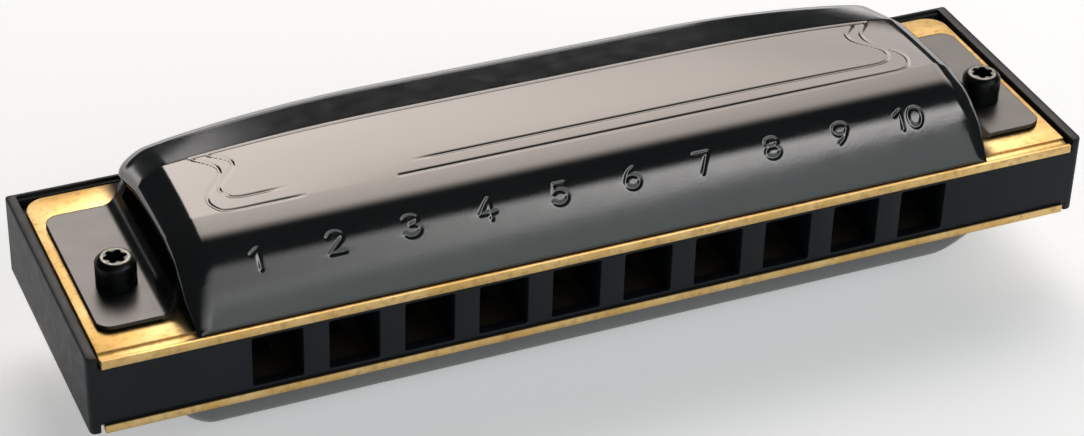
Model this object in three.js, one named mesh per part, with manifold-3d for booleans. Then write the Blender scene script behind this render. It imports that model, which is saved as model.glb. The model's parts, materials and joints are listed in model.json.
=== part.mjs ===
// A ten-hole diatonic harmonica, built the way the real one comes apart on a bench.
// Millimetres. X runs along the holes (hole 1 at -X), Y runs from the mouth side to the back,
// Z is up. The origin is under the middle of the body, on the flat that the instrument rests on.
import * as THREE from 'three';
import { mergeVertices } from 'three/addons/utils/BufferGeometryUtils.js';
import Module from 'manifold-3d';

const wasm = await Module();
wasm.setup();

// ---- Driving dimensions ----
const HOLES = 10;
const HOLE_PITCH = 7.5;
const HOLE_WIDTH = 4.92;
const HOLE_HEIGHT = 5.35;
const COMB_LENGTH = 103.5;
const COMB_DEPTH = 28.2;
const CORE_THICKNESS = 6.3;
const PLATE_THICKNESS = 0.9;
const COVER_HEIGHT = 8.0;
const SHEET = 0.5;

// ---- Comb ----
const END_RIB = 1.05;
const BACK_RIM = 0.7;
const RIB_STAND_TOP = 0.4;
const RIB_STAND_BOTTOM = 0.05;
const COMB_CORNER = 0.7;
const FRONT_STRIP = 1.1;
const CHAMBER_END_CLEARANCE = 3.6;

// ---- Reed plates ----
const PLATE_LENGTH = 100.8;
const PLATE_FRONT_LIP = 0.25;
const PLATE_BACK = 27.3;
const PLATE_FRONT_CORNER = 0.6;
const PLATE_BACK_CORNER = 2.2;
const GROOVE_START = 0.2;
const GROOVE_END = 1.25;
const GROOVE_DEPTH = 0.25;

// ---- Reeds and rivets ----
const SLOT_START = 5.9;
const LONGEST_BLADE = 15.5;
const SHORTEST_BLADE = 8.0;
const BLADE_ROOT_WIDTH = 2.2;
const BLADE_TIP_WIDTH = 1.96;
const REED_THICKNESS = 0.28;
const REED_LIFT = 0.13;
const PAD_WIDTH = 2.9;
const PAD_BEHIND_RIVET = 1.9;
const PAD_AHEAD_OF_RIVET = 2.1;
const PAD_CHAMFER = 0.35;
const PAD_HOLE_RADIUS = 0.75;
const SLOT_SIDE_GAP = 0.12;
const SLOT_TIP_GAP = 0.25;
const RIVET_SHANK_RADIUS = 0.6;
const RIVET_HEAD_RADIUS = 1.05;
const RIVET_HEAD_HEIGHT = 0.35;
const RIVET_TAIL_RADIUS = 0.95;
const RIVET_TAIL_HEIGHT = 0.15;
const RIVET_HEAD_GAP = 0.12;
const RIVET_HOLE_RADIUS = 0.65;

// ---- Covers ----
const SHELL_END = 41.0;
const SHELL_FRONT = 0.4;
const SHELL_BACK = 26.83;
const TAB_THICKNESS = 0.6;
const TAB_OUTER = 49.4;
const TAB_FRONT = 3.8;
const TAB_BACK = 23.1;
const TAB_CORNER = 1.5;
const FLANGE_FOOT = 43.4;
const APRON_BEND = { y: 2.3, height: 2.95 };
const APRON_TOP = { y: 4.3, height: 5.3 };
const SHOULDER_BEND = { y: 5.17, height: 6.33 };
const SHOULDER_TOP = { y: 7.6, height: 7.0 };
const PANEL_BEND_Y = 11.2;
const REST_FLAT_FRONT = 12.6;
const PANEL_BACK = 19.3;
const REST_FLAT_HALF = 16.0;
const CROWN_RADIUS = 125;
const CROWN_END = 37.8;
const END_ROLL_RADIUS = 5.0;
const REAR_ROLL_RADIUS = 2.0;
const REAR_SLOPE_DROP = 0.45;
const VENT_BOTTOM = 2.05;
const VENT_TOP = 3.7;
const VENT_FRONT = 5.2;
const VENT_BACK = 21.2;
const REAR_OPENING_HALF = 38.0;
const REAR_OPENING_TOP = 4.25;

// ---- Fasteners ----
const COVER_SCREW_X = 45.8;
const COVER_SCREW_Y = 10.4;
const COVER_SCREW_RADIUS = 1.0;
const COVER_SCREW_TIP = 1.7;
const COVER_SCREW_HEAD_RADIUS = 1.85;
const COVER_SCREW_HEAD_HEIGHT = 2.5;
const COVER_SCREW_BEVEL = 0.3;
const LOBE_CIRCLE_RADIUS = 0.85;
const LOBE_RADIUS = 0.3;
const LOBE_SOCKET_DEPTH = 1.3;
const NUT_CORNER_RADIUS = 2.3;
const NUT_HEIGHT = 1.6;
const PLATE_SCREW_RADIUS = 0.75;
const PLATE_SCREW_HEAD_RADIUS = 1.5;
const PLATE_SCREW_HEAD_HEIGHT = 0.8;
const SCREW_CLEARANCE = 0.1;
const THREAD_CLEARANCE = 0.05;
const FRONT_PLATE_SCREWS = { x: 3 * HOLE_PITCH, y: 5.2 };
const REAR_PLATE_SCREWS = { x: 38.2, y: 23.8 };
const MIDDLE_PLATE_SCREW_Y = 24.6;

// ---- Levels and places worked out from the sizes above ----
const CORE_TOP = CORE_THICKNESS / 2;
const PLATE_FACE = CORE_TOP + PLATE_THICKNESS;
const COVER_TOP = PLATE_FACE + COVER_HEIGHT;
const TAB_FACE = PLATE_FACE + TAB_THICKNESS;
const BEYOND = 10;
const holeNumbers = Array.from({ length: HOLES }, (_, i) => i + 1);
const holeX = (n) => (n - (HOLES + 1) / 2) * HOLE_PITCH;
const bladeLength = (n) => LONGEST_BLADE + ((SHORTEST_BLADE - LONGEST_BLADE) * (n - 1)) / (HOLES - 1);
const slotEnd = (n) => SLOT_START + bladeLength(n);
const chamberEnd = (n) => slotEnd(n) + CHAMBER_END_CLEARANCE;
const blowRivetY = SLOT_START - PAD_AHEAD_OF_RIVET;
const drawRivetY = (n) => slotEnd(n) + PAD_AHEAD_OF_RIVET;
const plateScrewPlaces = [
  [-FRONT_PLATE_SCREWS.x, FRONT_PLATE_SCREWS.y],
  [FRONT_PLATE_SCREWS.x, FRONT_PLATE_SCREWS.y],
  [-REAR_PLATE_SCREWS.x, REAR_PLATE_SCREWS.y],
  [0, MIDDLE_PLATE_SCREW_Y],
  [REAR_PLATE_SCREWS.x, REAR_PLATE_SCREWS.y],
];
const coverScrewPlaces = [[-COVER_SCREW_X, COVER_SCREW_Y], [COVER_SCREW_X, COVER_SCREW_Y]];

// ---- Materials ----
const finish = (color, roughness, metalness) => ({ color, roughness, metalness });
const BLACK_PLASTIC = finish(0x23272a, 0.55, 0);
const BLACK_LACQUER = finish(0x1d2022, 0.22, 0.3);
const BRASS = finish(0xd9b25a, 0.32, 1);
const REED_BRASS = finish(0xe0bd6e, 0.28, 1);
const BLACK_STEEL = finish(0x24282b, 0.35, 0.8);
const PLAIN_STEEL = finish(0xb4b6b8, 0.35, 1);

// ---- Solids: three.js shapes in, closed bodies out ----
function solidFrom(geometry) {
  geometry.deleteAttribute('normal');
  geometry.deleteAttribute('uv');
  const merged = mergeVertices(geometry, 1e-5);
  return new wasm.Manifold(new wasm.Mesh({
    numProp: 3,
    vertProperties: new Float32Array(merged.attributes.position.array),
    triVerts: new Uint32Array(merged.index.array),
  }));
}

function geometryFrom(solid) {
  const mesh = solid.getMesh();
  const geometry = new THREE.BufferGeometry();
  geometry.setAttribute('position', new THREE.BufferAttribute(mesh.vertProperties, 3));
  geometry.setIndex(new THREE.BufferAttribute(mesh.triVerts, 1));
  geometry.computeVertexNormals();
  return geometry;
}

function block([x0, x1], [y0, y1], [z0, z1]) {
  const box = new THREE.BoxGeometry(x1 - x0, y1 - y0, z1 - z0);
  return solidFrom(box.translate((x0 + x1) / 2, (y0 + y1) / 2, (z0 + z1) / 2));
}

function extrude(shape, depth, curveSegments = 4) {
  return new THREE.ExtrudeGeometry(shape, { depth, steps: 1, bevelEnabled: false, curveSegments });
}

// An outline in X and Y, standing from z0 to z1.
function plateOf(shape, [z0, z1]) {
  return solidFrom(extrude(shape, z1 - z0).translate(0, 0, z0));
}

function rod(radius, [x, y], [z0, z1], segments) {
  const cylinder = new THREE.CylinderGeometry(radius, radius, z1 - z0, segments);
  return solidFrom(cylinder.rotateX(Math.PI / 2).translate(x, y, (z0 + z1) / 2));
}

// A turned piece standing on Z, from its [radius, height] corners.
function turned(corners, [x, y], segments) {
  const profile = corners.map(([radius, height]) => new THREE.Vector2(radius, height));
  const lathe = new THREE.LatheGeometry([...profile, profile[0]], segments);
  return solidFrom(lathe.rotateX(Math.PI / 2).translate(x, y, 0));
}

// A plan outline with its own radius at the front pair and the back pair of corners.
function roundedPlan([x0, x1], [y0, y1], frontRadius, backRadius) {
  const shape = new THREE.Shape();
  shape.moveTo(x0 + frontRadius, y0);
  shape.lineTo(x1 - frontRadius, y0);
  shape.absarc(x1 - frontRadius, y0 + frontRadius, frontRadius, -Math.PI / 2, 0);
  shape.absarc(x1 - backRadius, y1 - backRadius, backRadius, 0, Math.PI / 2);
  shape.absarc(x0 + backRadius, y1 - backRadius, backRadius, Math.PI / 2, Math.PI);
  shape.absarc(x0 + frontRadius, y0 + frontRadius, frontRadius, Math.PI, 1.5 * Math.PI);
  return shape;
}

const cut = (solid, tools) => tools.reduce((left, tool) => left.subtract(tool), solid);
const join = (solids) => solids.reduce((whole, next) => whole.add(next));

// ---- Comb: the black moulding that holds the ten air chambers ----
function combSolid() {
  const half = COMB_LENGTH / 2;
  const top = PLATE_FACE + RIB_STAND_TOP;
  const bottom = -PLATE_FACE - RIB_STAND_BOTTOM;
  const body = plateOf(roundedPlan([-half, half], [0, COMB_DEPTH], COMB_CORNER, COMB_CORNER), [bottom, top]);
  const bedX = [END_RIB - half, half - END_RIB];
  const bedY = [-BEYOND, COMB_DEPTH - BACK_RIM];
  const beds = [block(bedX, bedY, [CORE_TOP, BEYOND]), block(bedX, bedY, [-BEYOND, -CORE_TOP])];
  const chambers = holeNumbers.flatMap((n) => {
    const across = [holeX(n) - HOLE_WIDTH / 2, holeX(n) + HOLE_WIDTH / 2];
    return [
      block(across, [FRONT_STRIP, chamberEnd(n)], [-BEYOND, BEYOND]),
      block(across, [-1, FRONT_STRIP + 1], [-HOLE_HEIGHT / 2, HOLE_HEIGHT / 2]),
    ];
  });
  const bores = [
    ...plateScrewPlaces.map((place) => rod(PLATE_SCREW_RADIUS + SCREW_CLEARANCE, place, [-BEYOND, BEYOND], 12)),
    ...coverScrewPlaces.map((place) => rod(COVER_SCREW_RADIUS + SCREW_CLEARANCE, place, [-BEYOND, BEYOND], 12)),
  ];
  return cut(body, [...beds, ...chambers, ...bores]);
}

// ---- Reed plates: brass sheets with ten slots, the rivet holes and a groove for the cover ----
function reedPlateSolid(bottom, grooveAt, rivetY, screwHoleClearance) {
  const top = bottom + PLATE_THICKNESS;
  const half = PLATE_LENGTH / 2;
  const outline = roundedPlan([-half, half], [-PLATE_FRONT_LIP, PLATE_BACK], PLATE_FRONT_CORNER, PLATE_BACK_CORNER);
  const through = [bottom - 1, top + 1];
  const slotHalf = BLADE_ROOT_WIDTH / 2 + SLOT_SIDE_GAP;
  const slots = holeNumbers.map((n) => {
    const [front, back] = rivetY(n) < SLOT_START ? [0, SLOT_TIP_GAP] : [-SLOT_TIP_GAP, 0];
    return block([holeX(n) - slotHalf, holeX(n) + slotHalf], [SLOT_START + front, slotEnd(n) + back], through);
  });
  const rivetHoles = holeNumbers.map((n) => rod(RIVET_HOLE_RADIUS, [holeX(n), rivetY(n)], through, 10));
  const screwHoles = plateScrewPlaces.map((place) => rod(PLATE_SCREW_RADIUS + screwHoleClearance, place, through, 12));
  const coverHoles = coverScrewPlaces.map((place) => rod(COVER_SCREW_RADIUS + SCREW_CLEARANCE, place, through, 12));
  const groove = block([-half - 1, half + 1], [GROOVE_START, GROOVE_END], grooveAt);
  return cut(plateOf(outline, [bottom, top]), [...slots, ...rivetHoles, ...screwHoles, ...coverHoles, groove]);
}

function blowReedPlateSolid() {
  const grooveAt = [PLATE_FACE - GROOVE_DEPTH, PLATE_FACE + 1];
  return reedPlateSolid(CORE_TOP, grooveAt, () => blowRivetY, SCREW_CLEARANCE);
}

function drawReedPlateSolid() {
  const grooveAt = [-PLATE_FACE - 1, GROOVE_DEPTH - PLATE_FACE];
  return reedPlateSolid(-PLATE_FACE, grooveAt, drawRivetY, THREAD_CLEARANCE);
}

// ---- Reeds: thin brass tongues, each on its own rivet, under the lower face of its plate ----
// toTip is +1 when the blade runs towards the back and -1 when it runs towards the mouth.
function reedSolid(n, rivetY, toTip, plateBottom) {
  const x = holeX(n);
  const pad = PAD_WIDTH / 2;
  const root = BLADE_ROOT_WIDTH / 2;
  const tip = BLADE_TIP_WIDTH / 2;
  const heel = -PAD_BEHIND_RIVET;
  const shoulder = PAD_AHEAD_OF_RIVET;
  const end = shoulder + bladeLength(n);
  const leftSide = [[pad - PAD_CHAMFER, heel], [pad, heel + PAD_CHAMFER], [pad, shoulder - PAD_CHAMFER],
    [root, shoulder], [tip, end]];
  const rightSide = leftSide.map(([across, along]) => [-across, along]).reverse();
  const corners = [...leftSide, ...rightSide].map(([across, along]) => (
    new THREE.Vector2(x + across * toTip, rivetY + along * toTip)));
  const shape = new THREE.Shape(corners);
  const top = plateBottom - REED_LIFT;
  const blank = plateOf(shape, [top - REED_THICKNESS, top]);
  return cut(blank, [rod(PAD_HOLE_RADIUS, [x, rivetY], [top - 1, top + 1], 10)]);
}

function rivetSolid(n, rivetY, plateBottom) {
  const headTop = plateBottom - REED_LIFT - REED_THICKNESS - RIVET_HEAD_GAP;
  const plateTop = plateBottom + PLATE_THICKNESS;
  const corners = [
    [0, headTop - RIVET_HEAD_HEIGHT], [0.6 * RIVET_HEAD_RADIUS, headTop - RIVET_HEAD_HEIGHT],
    [RIVET_HEAD_RADIUS, headTop], [RIVET_SHANK_RADIUS, headTop], [RIVET_SHANK_RADIUS, plateTop],
    [RIVET_TAIL_RADIUS, plateTop], [RIVET_TAIL_RADIUS, plateTop + RIVET_TAIL_HEIGHT],
    [0, plateTop + RIVET_TAIL_HEIGHT],
  ];
  return turned(corners, [holeX(n), rivetY], 10);
}

// ---- Covers: pressed sheet, open at the back, with a vent slot and a screw tab at each end ----
// Points of a path moved to its right by a distance, with mitred corners.
function offsetPoints(points, distance) {
  const rightOf = (a, b) => new THREE.Vector2(b.y - a.y, a.x - b.x).normalize();
  return points.map((point, i) => {
    const before = rightOf(points[Math.max(i - 1, 0)], points[Math.max(i, 1)]);
    const after = rightOf(points[Math.min(i, points.length - 2)], points[Math.min(i + 1, points.length - 1)]);
    const mitre = before.clone().add(after).normalize();
    return point.clone().addScaledVector(mitre, distance / mitre.dot(before));
  });
}

// The height of the cover from front to back, as a path in Y and Z.
function coverSection() {
  const path = new THREE.Path();
  const aboveGroove = PLATE_FACE - GROOVE_DEPTH + THREAD_CLEARANCE;
  const onPath = (place) => [place.y, PLATE_FACE + place.height];
  path.moveTo(SHELL_FRONT, aboveGroove);
  path.lineTo(SHELL_FRONT, PLATE_FACE + 0.1);
  path.quadraticCurveTo(...onPath(APRON_BEND), ...onPath(APRON_TOP));
  path.quadraticCurveTo(...onPath(SHOULDER_BEND), ...onPath(SHOULDER_TOP));
  path.quadraticCurveTo(PANEL_BEND_Y, COVER_TOP, REST_FLAT_FRONT, COVER_TOP);
  path.lineTo(PANEL_BACK, COVER_TOP);
  const rollTop = COVER_TOP - REAR_SLOPE_DROP - REAR_ROLL_RADIUS;
  path.absarc(SHELL_BACK - REAR_ROLL_RADIUS, rollTop, REAR_ROLL_RADIUS, 0.47 * Math.PI, 0, true);
  path.lineTo(SHELL_BACK, aboveGroove);
  return path.getPoints(4);
}

// The height of the cover along its length, as a path in X and Z from -X to +X.
function coverCrown() {
  const path = new THREE.Path();
  path.moveTo(REST_FLAT_HALF, COVER_TOP);
  const crownAngle = Math.asin((CROWN_END - REST_FLAT_HALF) / CROWN_RADIUS);
  const endAngle = THREE.MathUtils.degToRad(30);
  path.absarc(REST_FLAT_HALF, COVER_TOP - CROWN_RADIUS, CROWN_RADIUS, Math.PI / 2, Math.PI / 2 - crownAngle, true);
  const crownEndZ = COVER_TOP - CROWN_RADIUS * (1 - Math.cos(crownAngle));
  const rollX = CROWN_END - END_ROLL_RADIUS * Math.sin(crownAngle);
  const rollZ = crownEndZ - END_ROLL_RADIUS * Math.cos(crownAngle);
  path.absarc(rollX, rollZ, END_ROLL_RADIUS, Math.PI / 2 - crownAngle, endAngle, true);
  path.quadraticCurveTo(FLANGE_FOOT - 1, TAB_FACE, FLANGE_FOOT, TAB_FACE);
  path.lineTo(FLANGE_FOOT, PLATE_FACE - GROOVE_DEPTH);
  const right = path.getPoints(5).filter((point, i, all) => i === 0 || point.distanceTo(all[i - 1]) > 0.01);
  const left = right.map((point) => new THREE.Vector2(-point.x, point.y)).reverse();
  return [...left, ...right];
}

// The plan of the pressed shell, as a path in X and Y from the front left, round the back, to the front right.
function coverPlan() {
  const path = new THREE.Path();
  const cornerRadius = 2.6;
  path.moveTo(0, SHELL_BACK);
  path.absarc(SHELL_END + 0.4 - cornerRadius, SHELL_BACK - cornerRadius, cornerRadius, Math.PI / 2, 0, true);
  path.lineTo(SHELL_END + 0.4, TAB_BACK);
  path.lineTo(FLANGE_FOOT, TAB_BACK);
  path.lineTo(FLANGE_FOOT, TAB_FRONT + 0.5);
  path.lineTo(SHELL_END, TAB_FRONT + 0.5);
  path.lineTo(SHELL_END, -1);
  const right = path.getPoints(3);
  const left = right.slice(1).map((point) => new THREE.Vector2(-point.x, point.y)).reverse();
  return [...left, ...right];
}

// The hump that the three paths enclose together, moved inwards by a distance.
function coverHump(inset) {
  const close = (points, first, last) => new THREE.Shape([first, ...offsetPoints(points, inset), last]);
  const under = -BEYOND;
  const length = 2 * FLANGE_FOOT;
  const depth = SHELL_BACK + BEYOND;
  const section = coverSection();
  const sectionShape = close(section, new THREE.Vector2(section[0].x + inset, under),
    new THREE.Vector2(section.at(-1).x - inset, under));
  const crown = coverCrown();
  const crownShape = close(crown, new THREE.Vector2(crown[0].x + inset, under),
    new THREE.Vector2(crown.at(-1).x - inset, under));
  const planShape = close(coverPlan(), new THREE.Vector2(-SHELL_END + inset, -BEYOND),
    new THREE.Vector2(SHELL_END - inset, -BEYOND));
  const X = new THREE.Vector3(1, 0, 0);
  const Y = new THREE.Vector3(0, 1, 0);
  const Z = new THREE.Vector3(0, 0, 1);
  const alongX = extrude(sectionShape, length).applyMatrix4(new THREE.Matrix4().makeBasis(Y, Z, X));
  const alongY = extrude(crownShape, depth).applyMatrix4(new THREE.Matrix4().makeBasis(X, Z, Y.clone().negate()));
  const hump = solidFrom(alongX.translate(-length / 2, 0, 0)).intersect(solidFrom(alongY.translate(0, depth, 0)));
  return hump.intersect(plateOf(planShape, [under, COVER_TOP + 1]));
}

function coverSolid() {
  const lowest = PLATE_FACE - GROOVE_DEPTH + THREAD_CLEARANCE;
  const everyX = [-COMB_LENGTH, COMB_LENGTH];
  const ground = [
    block(everyX, [-BEYOND, GROOVE_END - 0.1], [-2 * BEYOND, lowest]),
    block(everyX, [GROOVE_END - 0.1, 2 * COMB_DEPTH], [-2 * BEYOND, PLATE_FACE]),
  ];
  const shell = cut(coverHump(0), [coverHump(SHEET), ...ground]);
  const sides = [-1, 1];
  const sideRange = (side, near, far) => [side * near, side * far].sort((a, b) => a - b);
  const tabs = sides.map((side) => {
    const plan = roundedPlan([-TAB_OUTER, TAB_OUTER], [TAB_FRONT, TAB_BACK], TAB_CORNER, TAB_CORNER);
    const slab = plateOf(plan, [PLATE_FACE, TAB_FACE]);
    const bore = rod(COVER_SCREW_RADIUS + SCREW_CLEARANCE, [side * COVER_SCREW_X, COVER_SCREW_Y], [0, BEYOND], 12);
    const keep = block(sideRange(side, FLANGE_FOOT - SHEET, COMB_LENGTH), [-1, COMB_DEPTH], [0, BEYOND]);
    return cut(slab.intersect(keep), [bore]);
  });
  const vents = sides.map((side) => block(sideRange(side, SHELL_END - 1.5, FLANGE_FOOT + 2),
    [VENT_FRONT, VENT_BACK], [PLATE_FACE + VENT_BOTTOM, PLATE_FACE + VENT_TOP]));
  const rear = block([-REAR_OPENING_HALF, REAR_OPENING_HALF], [SHELL_BACK - 2, SHELL_BACK + 2],
    [PLATE_FACE - 1, PLATE_FACE + REAR_OPENING_TOP]);
  return cut(join([shell, ...tabs]), [...vents, rear]);
}

// ---- Fasteners ----
function coverScrewSolid(place) {
  const top = TAB_FACE + COVER_SCREW_HEAD_HEIGHT;
  const tip = -TAB_FACE - COVER_SCREW_TIP;
  const body = turned([
    [0, tip], [COVER_SCREW_RADIUS, tip], [COVER_SCREW_RADIUS, TAB_FACE], [COVER_SCREW_HEAD_RADIUS, TAB_FACE],
    [COVER_SCREW_HEAD_RADIUS, top - COVER_SCREW_BEVEL], [COVER_SCREW_HEAD_RADIUS - COVER_SCREW_BEVEL, top], [0, top],
  ], place, 20);
  const socketAt = [top - LOBE_SOCKET_DEPTH, top + 1];
  const lobes = Array.from({ length: 6 }, (_, i) => {
    const angle = (i * Math.PI) / 3;
    const [x, y] = place;
    const centre = [x + LOBE_CIRCLE_RADIUS * Math.cos(angle), y + LOBE_CIRCLE_RADIUS * Math.sin(angle)];
    return rod(LOBE_RADIUS, centre, socketAt, 8);
  });
  return cut(body, [rod(LOBE_CIRCLE_RADIUS, place, socketAt, 12), ...lobes]);
}

function coverNutSolid(place) {
  const at = [-TAB_FACE - NUT_HEIGHT, -TAB_FACE];
  const bore = rod(COVER_SCREW_RADIUS + THREAD_CLEARANCE, place, [at[0] - 1, at[1] + 1], 20);
  return cut(rod(NUT_CORNER_RADIUS, place, at, 6), [bore]);
}

function plateScrewSolid(place) {
  const top = PLATE_FACE + PLATE_SCREW_HEAD_HEIGHT;
  const tip = -PLATE_FACE + 0.1;
  const body = turned([
    [0, tip], [PLATE_SCREW_RADIUS, tip], [PLATE_SCREW_RADIUS, PLATE_FACE], [PLATE_SCREW_HEAD_RADIUS, PLATE_FACE],
    [PLATE_SCREW_HEAD_RADIUS, top - 0.3], [0.7 * PLATE_SCREW_HEAD_RADIUS, top], [0, top],
  ], place, 12);
  const [x, y] = place;
  const slotAt = [top - 0.4, top + 1];
  const slots = [
    block([x - 0.9, x + 0.9], [y - 0.17, y + 0.17], slotAt),
    block([x - 0.17, x + 0.17], [y - 0.9, y + 0.9], slotAt),
  ];
  return cut(body, slots);
}

// ---- Assembly: the comb's middle plane lies one cover above the rest plane ----
const harmonica = new THREE.Group();
harmonica.name = 'harmonica';
harmonica.position.set(0, (PLATE_FRONT_LIP - COMB_DEPTH) / 2, COVER_TOP);

function addPart(name, solid, look) {
  const mesh = new THREE.Mesh(geometryFrom(solid), new THREE.MeshStandardMaterial(look));
  mesh.name = name;
  harmonica.add(mesh);
  return mesh;
}

addPart('comb', combSolid(), BLACK_PLASTIC);
addPart('blow_reed_plate', blowReedPlateSolid(), BRASS);
addPart('draw_reed_plate', drawReedPlateSolid(), BRASS);
addPart('upper_cover_plate', coverSolid(), BLACK_LACQUER);
addPart('lower_cover_plate', coverSolid(), BLACK_LACQUER).rotation.y = Math.PI;

for (const n of holeNumbers) {
  addPart(`blow_reed_${n}`, reedSolid(n, blowRivetY, 1, CORE_TOP), REED_BRASS);
  addPart(`blow_reed_rivet_${n}`, rivetSolid(n, blowRivetY, CORE_TOP), BRASS);
  addPart(`draw_reed_${n}`, reedSolid(n, drawRivetY(n), -1, -PLATE_FACE), REED_BRASS);
  addPart(`draw_reed_rivet_${n}`, rivetSolid(n, drawRivetY(n), -PLATE_FACE), BRASS);
}

coverScrewPlaces.forEach((place, i) => {
  const end = ['left', 'right'][i];
  addPart(`cover_screw_${end}`, coverScrewSolid(place), BLACK_STEEL);
  addPart(`cover_nut_${end}`, coverNutSolid(place), BLACK_STEEL);
});
const plateScrewNames = ['front_left', 'front_right', 'rear_left', 'rear_middle', 'rear_right'];
plateScrewPlaces.forEach((place, i) => {
  addPart(`reed_plate_screw_${plateScrewNames[i]}`, plateScrewSolid(place), PLAIN_STEEL);
});

export default harmonica;
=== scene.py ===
"""The looks of a ten-hole diatonic harmonica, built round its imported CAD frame.

Shapes are worked out in millimetres in the harmonica's own measures: X along the holes, Y from the
comb's front face towards the back, Z from the comb's middle plane upwards. world() turns them into
the frame's metres.
"""
import json
import math

import bmesh
import bpy
import numpy as np
from mathutils import Matrix, Vector

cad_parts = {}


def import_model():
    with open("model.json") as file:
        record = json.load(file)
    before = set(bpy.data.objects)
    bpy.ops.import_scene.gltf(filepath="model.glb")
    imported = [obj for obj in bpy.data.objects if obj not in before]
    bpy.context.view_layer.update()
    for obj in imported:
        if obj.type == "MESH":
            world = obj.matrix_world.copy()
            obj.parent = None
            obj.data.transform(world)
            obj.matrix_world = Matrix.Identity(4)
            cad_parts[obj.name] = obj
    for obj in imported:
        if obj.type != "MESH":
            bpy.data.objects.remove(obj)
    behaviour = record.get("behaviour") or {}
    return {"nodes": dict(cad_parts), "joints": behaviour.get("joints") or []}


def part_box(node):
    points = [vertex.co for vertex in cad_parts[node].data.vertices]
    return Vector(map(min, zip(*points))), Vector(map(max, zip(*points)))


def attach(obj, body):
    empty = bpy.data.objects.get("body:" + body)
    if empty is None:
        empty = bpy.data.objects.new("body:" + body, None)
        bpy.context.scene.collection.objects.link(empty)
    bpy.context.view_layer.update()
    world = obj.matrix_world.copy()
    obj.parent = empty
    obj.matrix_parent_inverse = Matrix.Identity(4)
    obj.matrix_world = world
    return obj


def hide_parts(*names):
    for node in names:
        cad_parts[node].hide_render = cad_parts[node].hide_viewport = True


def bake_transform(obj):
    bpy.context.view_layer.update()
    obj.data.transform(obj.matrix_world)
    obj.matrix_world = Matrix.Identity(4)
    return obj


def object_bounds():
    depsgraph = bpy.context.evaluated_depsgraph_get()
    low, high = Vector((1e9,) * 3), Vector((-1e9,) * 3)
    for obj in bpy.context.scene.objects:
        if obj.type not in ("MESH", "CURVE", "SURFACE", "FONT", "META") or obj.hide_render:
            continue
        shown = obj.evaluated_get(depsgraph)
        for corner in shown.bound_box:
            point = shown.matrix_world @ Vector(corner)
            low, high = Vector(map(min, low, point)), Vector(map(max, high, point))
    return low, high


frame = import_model()
cad_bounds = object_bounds()

# ---- Places that come from the frame ----
MM = 0.001
COMB_LOW, COMB_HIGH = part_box("comb")
COVER_LOW, COVER_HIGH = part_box("upper_cover_plate")
FRONT_Y = COMB_LOW.y
MIDDLE_Z = (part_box("blow_reed_plate")[1].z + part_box("draw_reed_plate")[0].z) / 2


def node_middle(node):
    """The middle of a CAD node's box, as X and Y in the harmonica's millimetres."""
    low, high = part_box(node)
    middle = (low + high) / 2
    return middle.x / MM, (middle.y - FRONT_Y) / MM


def node_heights(node):
    """A CAD node's lowest and highest Z in the harmonica's millimetres."""
    low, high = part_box(node)
    return (low.z - MIDDLE_Z) / MM, (high.z - MIDDLE_Z) / MM


PLATE_UNDER, PLATE_FACE = node_heights("blow_reed_plate")
COVER_FOOT, COVER_TOP = node_heights("upper_cover_plate")
COVER_FRONT = (COVER_LOW.y - FRONT_Y) / MM
COVER_BACK = (COVER_HIGH.y - FRONT_Y) / MM
TAB_OUTER = COVER_HIGH.x / MM
SCREW_X, SCREW_Y = (round(value, 2) for value in node_middle("cover_screw_right"))
HOLES = 10
FIRST_HOLE, LAST_HOLE = (node_middle(f"blow_reed_{n}")[0] for n in (1, HOLES))
HOLE_PITCH = round((LAST_HOLE - FIRST_HOLE) / (HOLES - 1), 2)

# ---- Covers ----
SHEET = 0.58
APRON_LEAN = (1.9, 2.85)  # the lower curve's control point, from the front foot
APRON_RISE = (4.2, 5.55)  # where the apron's curve ends, from the front foot
APRON_EDGE_ROUND = 1.4  # how softly the apron turns into the panel
PANEL_FALL = 0.95  # how much lower the panel is at its front line than at its back
PANEL_BACK = 18.2  # the crease between the panel and the strip behind it
CREASE_SOFT = 0.2
FLAT_HALF = 16.0  # the arch from end to end is level this far out
CROWN_RADIUS = 125.0  # its radius beyond that
CREASE_CROWN = 0.5  # the share of that arch at the crease
REAR_SLOPE = 0.145
REAR_ROLL = 3.1  # how far in the rear edge's roll starts
REAR_CORNER = 3.3
END_WIDE = 41.5  # half the shell's length
END_NARROW = END_WIDE - 0.5  # the same at the front foot
END_DRAWN_IN = 2.6  # how far back from the foot the full length starts
EDGE_ROLL = (3.0, 2.05)  # how far in the edge roll starts, and how far it drops
FRONT_EDGE_ROLL = (1.4, 0.35)
ROLL_GROWN_AT = 5.5  # the height above the reed plate where the edge roll is full size
END_ROLL_POWER = 1.5  # 2 is a round roll; less than 2 turns down more sharply at first
END_ROLL_ZONE = (1.5, 4.0)  # the start and width, from the end, of its change into the rear roll
LIP = 0.22
VENT_FOOT = 2.2  # the flange's upper edge above the reed plate
VENT_FRONT, VENT_BACK = 5.2, 21.4
FLANGE_FRONT, TAB_FRONT, TAB_BACK = 4.3, 3.8, 23.1
FLANGE_TOP_X, FLANGE_FOOT_X = END_WIDE + 0.5, 43.4
FLANGE_TURNS = 8
TAB_THICK = 0.6
TAB_CORNER = 1.5
REAR_OPENING_HALF = 38.0
REAR_HEM = 4.25  # the rear edge above the reed plate
STRAIGHT_COLUMNS_TO = 37.4  # columns further out follow the cover's own outline

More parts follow.
